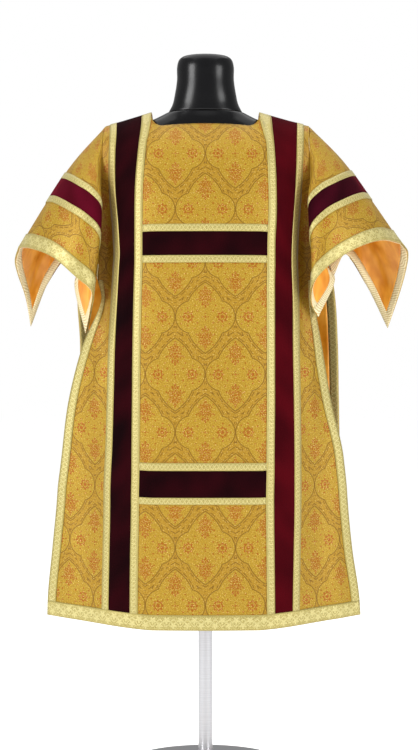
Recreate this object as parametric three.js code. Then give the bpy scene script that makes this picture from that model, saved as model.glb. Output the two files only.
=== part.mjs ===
// A gold brocade dalmatic with velvet orphreys, worn on a limbless dress form that stands on a pole
// and a round base. Millimetres, +Z up, the front faces -Y, the origin is under the base.
import * as THREE from 'three';

// Thickness of each cloth, and the gap kept between two pieces.
const BROCADE = 1.6;
const LINING = 1.0;
const VELVET = 1.2;
const GALLOON = 1.0;
const GAP = 0.3;

// Widths of the trims, and how far a turned-in galloon reaches from an open edge.
const NARROW = 17;
const SIDE_GALLOON = 21;
const TURNED = 22;

// The neck opening between its two corners, and the length of a sleeve along its top fold.
const NECK_HALF = 119;
const SLEEVE = 338;

// Where each trim starts and ends along a sleeve, from the seam.
const BAND = { outer: 140, velvet: 156, velvetEnd: 202, end: 219, cuff: 303 };

// The sides of each panel turn back past this distance from the middle, over a soft bend.
const BEND_AT = 150;
const BEND_WIDE = 45;

// A panel has a row for each level: the height and depth of its middle and of its side edges, how
// far out the edges are, and where the velvet bands run on each side.
const FRONT = [
  { name: 'shoulder', z: 1479, y: 6, zSide: 1452, ySide: 6, left: [224, 198, 141], right: [233, 204, 145] },
  { name: 'yoke', z: 1474, y: -38, zSide: 1441, ySide: -28, left: [226, 197, 141], right: [232, 204, 146] },
  { name: 'neck', z: 1447, y: -75, zSide: 1414, ySide: -54, left: [227, 196, 141], right: [229, 202, 147] },
  { name: 'chest', z: 1405, y: -108, zSide: 1372, ySide: -62, left: [229, 197, 145], right: [231, 200, 150] },
  { name: 'breast', z: 1310, y: -134, zSide: 1291, ySide: -62, left: [232, 196, 152], right: [232, 196, 154] },
  { name: 'bandTop', z: 1219, y: -142, zSide: 1213, ySide: -62, left: [233, 189, 153], right: [233, 190, 153] },
  { name: 'velvetTop', z: 1203, y: -142, zSide: 1198, ySide: -62, left: [234, 188, 153], right: [234, 189, 152] },
  { name: 'velvetEnd', z: 1151, y: -143, zSide: 1150, ySide: -63, left: [236, 186, 153], right: [236, 187, 151] },
  { name: 'bandEnd', z: 1135, y: -144, zSide: 1136, ySide: -64, left: [237, 187, 153], right: [237, 187, 151] },
  { name: 'armpit', z: 1095, y: -145, zSide: 1102, ySide: -66, left: [238, 189, 154], right: [240, 188, 150] },
  { name: 'rib', z: 1055, y: -146, zSide: 1066, ySide: -72, left: [230, 191, 155], right: [239, 189, 150] },
  { name: 'waist', z: 945, y: -147, zSide: 953, ySide: -56, left: [272, 196, 157], right: [257, 190, 150] },
  { name: 'hip', z: 825, y: -149, zSide: 834, ySide: -45, left: [303, 199, 158], right: [278, 192, 150] },
  { name: 'lowTop', z: 702, y: -150, zSide: 711, ySide: -38, left: [319, 203, 159], right: [306, 193, 149] },
  { name: 'lowVelvet', z: 685, y: -150, zSide: 694, ySide: -37, left: [321, 204, 159], right: [308, 193, 149] },
  { name: 'lowVelvetEnd', z: 627, y: -150, zSide: 637, ySide: -34, left: [328, 206, 160], right: [314, 193, 148] },
  { name: 'lowEnd', z: 612, y: -150, zSide: 622, ySide: -33, left: [329, 206, 160], right: [315, 193, 148] },
  { name: 'skirt', z: 495, y: -151, zSide: 507, ySide: -29, left: [340, 208, 162], right: [326, 191, 149] },
  { name: 'hemTop', z: 374, y: -152, zSide: 389, ySide: -26, left: [351, 210, 163], right: [343, 189, 150] },
  { name: 'hem', z: 341, y: -152, zSide: 357, ySide: -25, left: [352, 210, 163], right: [345, 189, 150] },
];
const BACK = [
  { name: 'shoulder', z: 1479, y: 7.2, zSide: 1452, ySide: 7.2, left: [224, 198, 141], right: [233, 204, 145] },
  { name: 'yoke', z: 1475, y: 44, zSide: 1443, ySide: 36, left: [226, 198, 141], right: [234, 203, 144] },
  { name: 'neck', z: 1456, y: 78, zSide: 1420, ySide: 60, left: [230, 198, 142], right: [236, 202, 144] },
  { name: 'chest', z: 1412, y: 108, zSide: 1380, ySide: 82, left: [236, 198, 143], right: [241, 201, 145] },
  { name: 'breast', z: 1312, y: 130, zSide: 1296, ySide: 97, left: [252, 199, 146], right: [254, 200, 147] },
  { name: 'bandTop', z: 1219, y: 134, zSide: 1219, ySide: 92, left: [268, 199, 148], right: [268, 199, 148] },
  { name: 'velvetTop', z: 1203, y: 134, zSide: 1205, ySide: 90, left: [271, 199, 148], right: [270, 199, 148] },
  { name: 'velvetEnd', z: 1151, y: 132, zSide: 1160, ySide: 80, left: [280, 199, 149], right: [279, 199, 149] },
  { name: 'bandEnd', z: 1135, y: 131, zSide: 1146, ySide: 76, left: [283, 199, 149], right: [282, 199, 149] },
  { name: 'armpit', z: 1095, y: 130, zSide: 1114, ySide: 62, left: [291, 200, 150], right: [290, 199, 149] },
  { name: 'rib', z: 1055, y: 128, zSide: 1074, ySide: 56, left: [292, 201, 151], right: [295, 200, 150] },
  { name: 'waist', z: 945, y: 125, zSide: 961, ySide: 48, left: [285, 202, 152], right: [301, 201, 150] },
  { name: 'hip', z: 825, y: 125, zSide: 838, ySide: 44, left: [289, 203, 153], right: [303, 202, 151] },
  { name: 'lowTop', z: 702, y: 129, zSide: 713, ySide: 41, left: [303, 204, 154], right: [306, 203, 152] },
  { name: 'lowVelvet', z: 685, y: 129, zSide: 696, ySide: 40, left: [305, 204, 154], right: [307, 203, 152] },
  { name: 'lowVelvetEnd', z: 627, y: 131, zSide: 638, ySide: 39, left: [312, 205, 155], right: [312, 204, 153] },
  { name: 'lowEnd', z: 612, y: 132, zSide: 622, ySide: 38, left: [314, 205, 155], right: [313, 204, 153] },
  { name: 'skirt', z: 495, y: 136, zSide: 505, ySide: 36, left: [328, 207, 157], right: [322, 206, 155] },
  { name: 'hemTop', z: 374, y: 139, zSide: 385, ySide: 34, left: [342, 209, 159], right: [336, 208, 157] },
  { name: 'hem', z: 341, y: 140, zSide: 353, ySide: 33, left: [345, 210, 160], right: [338, 209, 158] },
];

// The largest folds of the panels: a trough at x, deepest at z, that fades to nothing at its reach
// up and down and to the sides.
const FRONT_FOLDS = [
  { x: -212, z: 1170, high: 250, wide: 48, deep: 20 },
  { x: 210, z: 1180, high: 250, wide: 44, deep: 14 },
  { x: -262, z: 640, high: 400, wide: 64, deep: 9 },
  { x: 246, z: 600, high: 360, wide: 64, deep: 9 },
];
const BACK_FOLDS = [
  { x: -228, z: 1150, high: 260, wide: 50, deep: 12 },
  { x: 232, z: 1150, high: 260, wide: 50, deep: 12 },
  { x: -255, z: 600, high: 400, wide: 66, deep: 9 },
  { x: 250, z: 620, high: 380, wide: 66, deep: 9 },
];

// A sleeve has a row for each section across it, at a third, two thirds and the whole of its
// length. Each goes round from its front open edge, over the top fold, to its back open edge.
const SLEEVE_LEFT = [
  {
    frontEdge: [-252, -52, 1128], under: [-240, -70, 1200], turn: [-229, -93, 1292], lowFront: [-240, -90, 1322],
    midFront: [-264, -74, 1344], highFront: [-285, -40, 1360], top: [-298, 4, 1369],
    highBack: [-300, 62, 1350], midBack: [-308, 122, 1300], lowBack: [-322, 152, 1228], backEdge: [-322, 130, 1168],
  },
  {
    frontEdge: [-292, 4, 1106], under: [-262, -60, 1106], turn: [-233, -99, 1186], lowFront: [-262, -108, 1220],
    midFront: [-306, -86, 1250], highFront: [-342, -42, 1270], top: [-361, 6, 1275],
    highBack: [-372, 68, 1252], midBack: [-384, 128, 1208], lowBack: [-386, 174, 1155], backEdge: [-374, 190, 1108],
  },
  {
    frontEdge: [-266, -30, 985], under: [-253, -60, 1040], turn: [-249, -98, 1076], lowFront: [-284, -112, 1107],
    midFront: [-331, -95, 1148], highFront: [-393, -35, 1175], top: [-420, 10, 1179],
    highBack: [-436, 75, 1153], midBack: [-436, 135, 1123], lowBack: [-426, 185, 1079], backEdge: [-417, 215, 1008],
  },
];
const SLEEVE_RIGHT = [
  {
    frontEdge: [253, -54, 1132], under: [240, -72, 1206], turn: [227, -95, 1296], lowFront: [242, -92, 1326],
    midFront: [272, -76, 1348], highFront: [297, -42, 1364], top: [310, 5, 1373],
    highBack: [312, 62, 1356], midBack: [320, 122, 1306], lowBack: [332, 155, 1236], backEdge: [328, 138, 1174],
  },
  {
    frontEdge: [286, -34, 1112], under: [258, -76, 1108], turn: [231, -108, 1190], lowFront: [262, -113, 1230],
    midFront: [312, -90, 1260], highFront: [354, -46, 1278], top: [377, 6, 1281],
    highBack: [390, 70, 1262], midBack: [402, 130, 1215], lowBack: [400, 175, 1155], backEdge: [382, 188, 1102],
  },
  {
    frontEdge: [247, -88, 1019], under: [232, -96, 1050], turn: [235, -120, 1090], lowFront: [262, -121, 1124],
    midFront: [324, -102, 1166], highFront: [390, -56, 1191], top: [441, 10, 1189],
    highBack: [463, 70, 1171], midBack: [464, 125, 1130], lowBack: [449, 178, 1060], backEdge: [433, 205, 1004],
  },
];
const ROUND = [
  'frontEdge', 'under', 'turn', 'lowFront', 'midFront', 'highFront', 'top', 'highBack', 'midBack', 'lowBack', 'backEdge',
];
const TOP = ROUND.indexOf('top');

// The dress form, a row for each level: half its width, and how far it reaches forward and back.
const TORSO = [
  { z: 770, wide: 120, front: 76, back: 78 },
  { z: 780, wide: 152, front: 98, back: 100 },
  { z: 810, wide: 164, front: 106, back: 108 },
  { z: 880, wide: 166, front: 108, back: 108 },
  { z: 970, wide: 154, front: 104, back: 98 },
  { z: 1060, wide: 136, front: 94, back: 88 },
  { z: 1150, wide: 146, front: 104, back: 98 },
  { z: 1240, wide: 166, front: 116, back: 108 },
  { z: 1320, wide: 186, front: 108, back: 104 },
  { z: 1380, wide: 198, front: 82, back: 88 },
  { z: 1415, wide: 194, front: 62, back: 70 },
  { z: 1438, wide: 176, front: 54, back: 60 },
  { z: 1455, wide: 144, front: 52, back: 57 },
  { z: 1468, wide: 112, front: 52, back: 56 },
  { z: 1480, wide: 88, front: 54, back: 56 },
];
const NECK = [
  { z: 1480.3, wide: 84, front: 55, back: 56 },
  { z: 1500, wide: 74, front: 55, back: 55 },
  { z: 1522, wide: 69, front: 56, back: 55 },
  { z: 1556, wide: 64, front: 55, back: 54 },
  { z: 1590, wide: 63, front: 54, back: 53 },
  { z: 1602, wide: 58, front: 49, back: 49 },
  { z: 1607, wide: 48, front: 40, back: 41 },
];
const RING_SIDES = 28;

const POLE_RADIUS = 16;
const BASE = { radius: 190, thick: 18, edge: 5 };
const SOCKET = { radius: 34, high: 60 };

const COLOURS = {
  brocade: 0xd0a43c,
  lining: 0xd9862b,
  velvet: 0x4a0614,
  galloon: 0xd9cd84,
  form: 0x0c0c0d,
  metal: 0xb4b4b6,
};
const finish = (color, roughness, metalness = 0) => new THREE.MeshStandardMaterial({ color, roughness, metalness });
const MATERIALS = {
  brocade: finish(COLOURS.brocade, 0.55, 0.15),
  lining: finish(COLOURS.lining, 0.4),
  velvet: finish(COLOURS.velvet, 0.85),
  galloon: finish(COLOURS.galloon, 0.5, 0.3),
  form: finish(COLOURS.form, 0.3),
  metal: finish(COLOURS.metal, 0.3, 0.9),
};

const garment = new THREE.Group();
const stand = new THREE.Group();

function add(group, name, geometry, material) {
  const mesh = new THREE.Mesh(geometry, MATERIALS[material]);
  mesh.name = name;
  group.add(mesh);
}

// A closed mesh from loops of points, each loop as long as the next, with a lid at both ends.
function loftGeometry(loops) {
  const positions = loops.flat().flatMap((point) => point.toArray());
  const sides = loops[0].length;
  const index = [];
  for (let row = 0; row + 1 < loops.length; row += 1) {
    for (let side = 0; side < sides; side += 1) {
      const next = (side + 1) % sides;
      const [a, b] = [row * sides + side, row * sides + next];
      index.push(a, b, b + sides, a, b + sides, a + sides);
    }
  }
  const last = (loops.length - 1) * sides;
  for (let side = 1; side + 1 < sides; side += 1) {
    index.push(0, side + 1, side, last, last + side, last + side + 1);
  }
  const geometry = new THREE.BufferGeometry();
  geometry.setAttribute('position', new THREE.Float32BufferAttribute(positions, 3));
  geometry.setIndex(index);
  return geometry;
}

function ring({ z, wide, front, back }) {
  return Array.from({ length: RING_SIDES }, (_, side) => {
    const angle = (side / RING_SIDES) * 2 * Math.PI;
    const deep = Math.sin(angle) < 0 ? front : back;
    return new THREE.Vector3(wide * Math.cos(angle), deep * Math.sin(angle), z);
  });
}

// A sheet is a grid of rows of points with a direction out of the cloth at each of them.
// facing is 1 or -1, whichever makes those directions point away from the wearer.
function sheetFrom(points, facing) {
  const last = { row: points.length - 1, column: points[0].length - 1 };
  const out = points.map((row, i) => row.map((_, j) => {
    const down = points[Math.min(i + 1, last.row)][j].clone().sub(points[Math.max(i - 1, 0)][j]);
    const across = row[Math.min(j + 1, last.column)].clone().sub(row[Math.max(j - 1, 0)]);
    return down.cross(across).multiplyScalar(facing).normalize();
  }));
  return { points, out, facing };
}

// The part of a sheet between two rows and two columns. Each side that is drawn in moves by its
// number of millimetres, so that neighbours keep their gap.
function cut(sheet, rows, columns, drawIn = { up: 0, down: 0, left: 0, right: 0 }) {
  const pick = (grid) => grid.slice(rows[0], rows[1] + 1).map((row) => row.slice(columns[0], columns[1] + 1));
  const points = pick(sheet.points).map((row) => row.map((point) => point.clone()));
  const pull = (point, towards, distance) => {
    if (distance > 0) point.add(towards.clone().sub(point).setLength(distance));
  };
  const bottom = points.length - 1;
  const right = points[0].length - 1;
  points.forEach((row) => {
    const [first, second] = [row[0].clone(), row[1].clone()];
    pull(row[0], second, drawIn.left);
    pull(row[right], right > 1 ? row[right - 1] : first, drawIn.right);
  });
  for (let j = 0; j <= right; j += 1) {
    const first = points[0][j].clone();
    pull(points[0][j], points[1][j], drawIn.up);
    pull(points[bottom][j], bottom > 1 ? points[bottom - 1][j] : first, drawIn.down);
  }
  return { points, out: pick(sheet.out), facing: sheet.facing };
}

// A closed wall of cloth between two distances from a sheet, on the cells that keep says yes to.
function wall(sheet, low, high, keep = () => true) {
  const { points, out, facing } = sheet;
  const columns = points[0].length;
  const moved = (distance) => points.flatMap((row, i) => row.flatMap(
    (point, j) => point.clone().addScaledVector(out[i][j], distance).toArray(),
  ));
  const count = points.length * columns;
  const index = [];
  const triangle = (a, b, c) => index.push(...(facing > 0 ? [a, b, c] : [a, c, b]));
  const kept = (i, j) => i >= 0 && j >= 0 && i + 1 < points.length && j + 1 < columns && keep(i, j);
  const rim = (a, b) => {
    triangle(a, b, b + count);
    triangle(a, b + count, a + count);
  };
  for (let i = 0; i + 1 < points.length; i += 1) {
    for (let j = 0; j + 1 < columns; j += 1) {
      if (!kept(i, j)) continue;
      const [a, b] = [i * columns + j, i * columns + j + 1];
      const [c, d] = [a + columns, b + columns];
      triangle(a + count, c + count, d + count);
      triangle(a + count, d + count, b + count);
      triangle(a, d, c);
      triangle(a, b, d);
      if (!kept(i - 1, j)) rim(b, a);
      if (!kept(i + 1, j)) rim(c, d);
      if (!kept(i, j - 1)) rim(a, c);
      if (!kept(i, j + 1)) rim(d, b);
    }
  }
  const used = [...new Set(index)];
  const place = new Map(used.map((old, fresh) => [old, fresh]));
  const all = [...moved(low), ...moved(high)];
  const positions = used.flatMap((old) => all.slice(old * 3, old * 3 + 3));
  const geometry = new THREE.BufferGeometry();
  geometry.setAttribute('position', new THREE.Float32BufferAttribute(positions, 3));
  geometry.setIndex(index.map((old) => place.get(old)));
  return geometry;
}

// Where each layer lies, as distances from the middle of the brocade, with a gap between them.
const layers = (gap) => ({
  brocade: [-BROCADE / 2, BROCADE / 2],
  velvet: [BROCADE / 2 + gap, BROCADE / 2 + gap + VELVET],
  galloon: [BROCADE / 2 + gap, BROCADE / 2 + gap + GALLOON],
  lining: [-BROCADE / 2 - gap - LINING, -BROCADE / 2 - gap],
  turned: [-BROCADE / 2 - gap - GALLOON, -BROCADE / 2 - gap],
});
const LAYER = layers(GAP);
const HALF = GAP / 2;
const ALL_ROUND = { up: HALF, down: HALF, left: HALF, right: HALF };

// How far the cloth has turned back at a distance from the middle, before it is scaled.
function turnedBack(distance) {
  const past = distance - BEND_AT;
  const start = (Math.hypot(BEND_AT, BEND_WIDE) - BEND_AT) / 2;
  return (past + Math.hypot(past, BEND_WIDE)) / 2 - start;
}

// A point of a panel at x on one of its rows.
function panelPoint(row, x, folds, outward) {
  const edge = x < 0 ? row.left[0] : row.right[0];
  const back = turnedBack(Math.abs(x)) / turnedBack(edge);
  const across = Math.max(0, (Math.abs(x) - NECK_HALF) / (edge - NECK_HALF));
  const z = THREE.MathUtils.lerp(row.z, row.zSide, across);
  const fade = (away) => (Math.abs(away) < 1 ? (1 + Math.cos(Math.PI * away)) / 2 : 0);
  const trough = folds.reduce((sum, fold) => (
    sum + fold.deep * fade((x - fold.x) / fold.wide) * fade((z - fold.z) / fold.high)
  ), 0);
  return new THREE.Vector3(x, THREE.MathUtils.lerp(row.y, row.ySide, back) - outward * trough, z);
}

const level = (rows, name) => rows.findIndex((row) => row.name === name);

// The columns of a panel from one side edge to the middle: edge, side galloon, brocade, narrow
// galloon, velvet, narrow galloon, middle. They mirror onto the other side.
const COLUMN = { edge: 0, side: 1, brocade: 2, outer: 3, velvet: 4, inner: 5, middle: 6, centre: 8 };
const LAST = COLUMN.centre * 2;

function panelSheet(rows, folds, outward) {
  const neck = level(rows, 'neck');
  const points = rows.map((row, i) => {
    const half = ([edge, velvetOut, velvetIn]) => {
      const outer = velvetOut + NARROW * 0.9;
      const side = edge - Math.min(SIDE_GALLOON * 0.9, (edge - outer) / 3);
      const inner = i > neck ? velvetIn - NARROW : NECK_HALF;
      return [edge, side, (side + outer) / 2, outer, velvetOut, velvetIn, inner, inner / 2];
    };
    const xs = [...half(row.left).map((x) => -x), 0, ...half(row.right).reverse()];
    return xs.map((x) => panelPoint(row, x, folds, outward));
  });
  return sheetFrom(points, -outward);
}

function addPanel(side, rows, folds, outward) {
  const sheet = panelSheet(rows, folds, outward);
  const at = (name) => level(rows, name);
  const neck = at('neck');
  const keep = (i, j) => i >= neck || j < COLUMN.middle || j >= LAST - COLUMN.middle;
  add(garment, `${side}_panel`, wall(sheet, ...LAYER.brocade, keep), 'brocade');

  const strip = (name, layer, levels, columns) => {
    const piece = cut(sheet, levels.map(at), columns, ALL_ROUND);
    add(garment, name, wall(piece, ...LAYER[layer]), layer === 'velvet' ? 'velvet' : 'galloon');
  };
  for (const hand of ['left', 'right']) {
    const columns = (from, to) => (hand === 'left' ? [from, to] : [LAST - to, LAST - from]);
    const whole = ['shoulder', 'hemTop'];
    strip(`${side}_clavus_${hand}`, 'velvet', whole, columns(COLUMN.velvet, COLUMN.inner));
    strip(`${side}_clavus_${hand}_outer_galloon`, 'galloon', whole, columns(COLUMN.outer, COLUMN.velvet));
    strip(`${side}_clavus_${hand}_inner_galloon`, 'galloon', whole, columns(COLUMN.inner, COLUMN.middle));
    strip(`${side}_side_galloon_${hand}`, 'galloon', ['armpit', 'hemTop'], columns(COLUMN.edge, COLUMN.side));
  }
  const between = [COLUMN.middle, LAST - COLUMN.middle];
  const bands = [
    { name: 'upper', levels: ['bandTop', 'velvetTop', 'velvetEnd', 'bandEnd'] },
    { name: 'lower', levels: ['lowTop', 'lowVelvet', 'lowVelvetEnd', 'lowEnd'] },
  ];
  for (const { name, levels } of bands) {
    strip(`${side}_${name}_band_top_galloon`, 'galloon', levels.slice(0, 2), between);
    strip(`${side}_${name}_band`, 'velvet', levels.slice(1, 3), between);
    strip(`${side}_${name}_band_bottom_galloon`, 'galloon', levels.slice(2, 4), between);
  }
  strip(`${side}_hem_galloon`, 'galloon', ['hemTop', 'hem'], [COLUMN.edge, LAST]);
  return sheet;
}

const front = addPanel('front', FRONT, FRONT_FOLDS, -1);
const back = addPanel('back', BACK, BACK_FOLDS, 1);

// The back panel's lining shows at the slits, inside the galloon turned round its edges.
const armpit = level(BACK, 'armpit');
const backLining = cut(back, [level(BACK, 'neck'), level(BACK, 'hemTop')], [COLUMN.side, LAST - COLUMN.side], ALL_ROUND);
add(garment, 'back_lining', wall(backLining, ...LAYER.lining), 'lining');
for (const [hand, columns] of [['left', [0, 1]], ['right', [LAST - 1, LAST]]]) {
  const edge = cut(back, [armpit, level(BACK, 'hemTop')], columns, ALL_ROUND);
  add(garment, `back_turned_galloon_${hand}`, wall(edge, ...LAYER.turned), 'galloon');
}

// A sleeve: its seam follows the panels' edges, and the sections are splines through their rows.
const ALONG = [0, 55, BAND.outer, BAND.velvet, BAND.velvetEnd, BAND.end, BAND.cuff, SLEEVE - TURNED, SLEEVE];
const SEAM_GAP = { top: 2.2, frontArmpit: 3.6, backArmpit: 1.6 };
const FRONT_PLACES = [0, 1, 2, 3, 4, 4.5, 5, 5.4];
const BACK_PLACES = [0, 0.5, 1, 1.5, 2, 2.5, 3, 3.4];
// The band and its galloons end this many cells before the front edge, inside the tucked fold.
const TUCKED = 3;
const SLEEVE_TRIM = { up: GAP, down: GAP, left: GAP, right: GAP };
const SLEEVE_LINING = { up: 1, down: 1, left: 1, right: 1 };
// The sleeve folds sharply, so its layers keep twice the gap.
const SLEEVE_LAYER = layers(GAP * 2);

// Points of half a section from the top fold to its open edge, at the named places and between
// them. The last cell is as wide as the turned-in galloon.
function halfSection(section, names, places) {
  const corners = names.map((name) => new THREE.Vector3(...section[name]));
  const spline = new THREE.CatmullRomCurve3(corners, false, 'centripetal');
  const last = names.length - 1;
  const edge = TURNED / corners[last].distanceTo(corners[last - 1]);
  return [...places, last - edge, last].map((place) => spline.getPoint(place / last));
}

function sleeveSheet(sections, hand) {
  const column = hand === 'left' ? 0 : LAST;
  const cells = armpit;
  const seamFront = front.points.slice(0, cells + 1).map((row) => row[column]);
  const seamBack = back.points.slice(0, cells + 1).map((row) => row[column]);
  const seam = [...seamFront.slice(1).reverse(), seamFront[0].clone().lerp(seamBack[0], 0.5), ...seamBack.slice(1)];
  const rings = sections.map((section) => {
    const frontHalf = halfSection(section, ROUND.slice(0, TOP + 1).reverse(), FRONT_PLACES);
    const backHalf = halfSection(section, ROUND.slice(TOP), BACK_PLACES);
    return [...frontHalf.slice(1).reverse(), ...backHalf];
  });
  const points = seam.map((start, k) => {
    const line = [start, ...rings.map((points) => points[k])];
    const spline = new THREE.CatmullRomCurve3(line, false, 'centripetal');
    const low = Math.abs(k - cells) / cells;
    const gap = THREE.MathUtils.lerp(SEAM_GAP.top, k < cells ? SEAM_GAP.frontArmpit : SEAM_GAP.backArmpit, low);
    return ALONG.map((distance) => (
      distance > 0 ? spline.getPoint(distance / SLEEVE) : start.clone().add(line[1].clone().sub(start).setLength(gap))
    ));
  });
  return sheetFrom(points, hand === 'left' ? 1 : -1);
}

function addSleeve(hand, sections) {
  const sheet = sleeveSheet(sections, hand);
  const lastRow = sheet.points.length - 1;
  const at = (distance) => ALONG.indexOf(distance);
  add(garment, `sleeve_${hand}`, wall(sheet, ...SLEEVE_LAYER.brocade), 'brocade');
  const band = (name, layer, from, to, start = TUCKED) => {
    const piece = cut(sheet, [start, lastRow], [at(from), at(to)], SLEEVE_TRIM);
    add(garment, name, wall(piece, ...SLEEVE_LAYER[layer]), layer === 'velvet' ? 'velvet' : 'galloon');
  };
  band(`sleeve_${hand}_band_upper_galloon`, 'galloon', BAND.outer, BAND.velvet);
  band(`sleeve_${hand}_band`, 'velvet', BAND.velvet, BAND.velvetEnd);
  band(`sleeve_${hand}_band_lower_galloon`, 'galloon', BAND.velvetEnd, BAND.end);
  band(`cuff_galloon_${hand}`, 'galloon', BAND.cuff, SLEEVE, 0);
  const cuffEdge = at(SLEEVE - TURNED);
  const lining = cut(sheet, [1, lastRow - 1], [at(BAND.outer), cuffEdge], SLEEVE_LINING);
  add(garment, `sleeve_${hand}_lining`, wall(lining, ...SLEEVE_LAYER.lining), 'lining');
  const turned = (i, j) => i === 0 || i === lastRow - 1 || j === cuffEdge;
  add(garment, `sleeve_${hand}_turned_galloon`, wall(sheet, ...SLEEVE_LAYER.turned, turned), 'galloon');
}

addSleeve('left', SLEEVE_LEFT);
addSleeve('right', SLEEVE_RIGHT);

// The dress form and its stand.
add(stand, 'form_torso', loftGeometry(TORSO.map(ring)), 'form');
add(stand, 'form_neck', loftGeometry(NECK.map(ring)), 'form');

function turnedPart(name, profile, material) {
  const geometry = new THREE.LatheGeometry(profile.map(([radius, z]) => new THREE.Vector2(radius, z)), 32);
  geometry.rotateX(Math.PI / 2);
  add(stand, name, geometry, material);
}
const bottom = TORSO[0].z;
turnedPart('pole_socket', [
  [0, bottom - SOCKET.high], [SOCKET.radius - 6, bottom - SOCKET.high], [SOCKET.radius, bottom - SOCKET.high + 6],
  [SOCKET.radius, bottom - GAP], [0, bottom - GAP],
], 'metal');
turnedPart('pole', [
  [0, BASE.thick + GAP], [POLE_RADIUS, BASE.thick + GAP],
  [POLE_RADIUS, bottom - SOCKET.high - GAP], [0, bottom - SOCKET.high - GAP],
], 'metal');
turnedPart('base', [
  [0, 0], [BASE.radius, 0], [BASE.radius, BASE.thick - BASE.edge],
  [BASE.radius - BASE.edge, BASE.thick], [0, BASE.thick],
], 'metal');

const dalmatic = new THREE.Group();
dalmatic.add(garment, stand);
export default dalmatic;
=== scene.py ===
import math

import bmesh
import bpy
import numpy as np
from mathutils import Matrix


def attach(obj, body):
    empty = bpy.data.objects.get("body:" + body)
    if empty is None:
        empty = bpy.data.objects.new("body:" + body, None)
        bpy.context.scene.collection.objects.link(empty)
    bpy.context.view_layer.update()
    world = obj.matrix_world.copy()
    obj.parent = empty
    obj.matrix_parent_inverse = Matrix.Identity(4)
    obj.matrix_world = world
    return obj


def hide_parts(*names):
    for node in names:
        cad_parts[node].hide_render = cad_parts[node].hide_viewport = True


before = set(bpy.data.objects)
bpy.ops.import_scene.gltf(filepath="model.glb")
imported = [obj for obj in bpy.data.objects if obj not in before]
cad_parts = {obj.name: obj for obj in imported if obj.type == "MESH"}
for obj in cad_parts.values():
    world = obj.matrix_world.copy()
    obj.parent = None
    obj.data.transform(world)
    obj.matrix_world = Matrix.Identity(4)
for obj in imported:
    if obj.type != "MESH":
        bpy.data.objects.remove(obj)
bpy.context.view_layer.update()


# ---------------------------------------------------------------- the two panels
# The front and the back are each one piece of gold damask brocade, cut straight at the shoulder,
# square at the neck and flaring to the hem. They meet at the shoulders only and are open down both
# sides. Each hangs from the form's shoulders, and its sides turn softly back.
# Sizes are in mm: the cells of the cloth, the galloons, half the neck and the cloth's thickness.
MM = 0.001
CELL = 6.0
NARROW = 17.0
SIDE_GALLOON = 21.0
NECK_HALF = 119.0
BROCADE = 1.6
# Two places on a cloth's grid that are nearer than this are the same.
NEAR = 1e-6

# A row for each level: the height and depth of the middle and of the side edges, then how far out
# the side edge, the velvet's outer edge and the velvet's inner edge are, on the left and right.
LEVELS = [
    "shoulder", "yoke", "neck", "chest", "breast", "bandTop", "velvetTop", "velvetEnd", "bandEnd",
    "armpit", "rib", "waist", "hip", "lowTop", "lowVelvet", "lowVelvetEnd", "lowEnd", "skirt",
    "hemTop", "hem",
]
#   z, y, z of the side, y of the side, left edge, velvet out, velvet in, right edge, velvet out, in
FRONT = [
    (1479, 6, 1452, 6, 224, 198, 141, 233, 204, 145),
    (1474, -38, 1441, -28, 226, 197, 141, 232, 204, 146),
    (1447, -75, 1414, -54, 227, 196, 141, 229, 202, 147),
    (1405, -108, 1372, -62, 229, 197, 145, 231, 200, 150),
    (1310, -134, 1291, -62, 232, 196, 152, 232, 196, 154),
    (1219, -142, 1213, -62, 233, 189, 153, 233, 190, 153),
    (1203, -142, 1198, -62, 234, 188, 153, 234, 189, 152),
    (1151, -143, 1150, -63, 236, 186, 153, 236, 187, 151),
    (1135, -144, 1136, -64, 237, 187, 153, 237, 187, 151),
    (1095, -145, 1102, -66, 238, 189, 154, 240, 188, 150),
    (1055, -146, 1066, -72, 230, 191, 155, 239, 189, 150),
    (945, -147, 953, -56, 272, 196, 157, 257, 190, 150),
    (825, -149, 834, -45, 303, 199, 158, 278, 192, 150),
    (702, -150, 711, -38, 319, 203, 159, 306, 193, 149),
    (685, -150, 694, -37, 321, 204, 159, 308, 193, 149),
    (627, -150, 637, -34, 328, 206, 160, 314, 193, 148),
    (612, -150, 622, -33, 329, 206, 160, 315, 193, 148),
    (495, -151, 507, -29, 340, 208, 162, 326, 191, 149),
    (374, -152, 389, -26, 351, 210, 163, 343, 189, 150),
    (341, -152, 357, -25, 352, 210, 163, 345, 189, 150),
]
BACK = [
    (1479, 7.2, 1452, 7.2, 224, 198, 141, 233, 204, 145),
    (1475, 44, 1443, 36, 226, 198, 141, 234, 203, 144),
    (1456, 78, 1420, 60, 230, 198, 142, 236, 202, 144),
    (1412, 108, 1380, 82, 236, 198, 143, 241, 201, 145),
    (1312, 130, 1296, 97, 252, 199, 146, 254, 200, 147),
    (1219, 134, 1219, 92, 268, 199, 148, 268, 199, 148),
    (1203, 134, 1205, 90, 271, 199, 148, 270, 199, 148),
    (1151, 132, 1160, 80, 280, 199, 149, 279, 199, 149),
    (1135, 131, 1146, 76, 283, 199, 149, 282, 199, 149),
    (1095, 130, 1114, 62, 291, 200, 150, 290, 199, 149),
    (1055, 128, 1074, 56, 292, 201, 151, 295, 200, 150),
    (945, 125, 961, 48, 285, 202, 152, 301, 201, 150),
    (825, 125, 838, 44, 289, 203, 153, 303, 202, 151),
    (702, 129, 713, 41, 303, 204, 154, 306, 203, 152),
    (685, 129, 696, 40, 305, 204, 154, 307, 203, 152),
    (627, 131, 638, 39, 312, 205, 155, 312, 204, 153),
    (612, 132, 622, 38, 314, 205, 155, 313, 204, 153),
    (495, 136, 505, 36, 328, 207, 157, 322, 206, 155),
    (374, 139, 385, 34, 342, 209, 159, 336, 208, 157),
    (341, 140, 353, 33, 345, 210, 160, 338, 209, 158),
]

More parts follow.
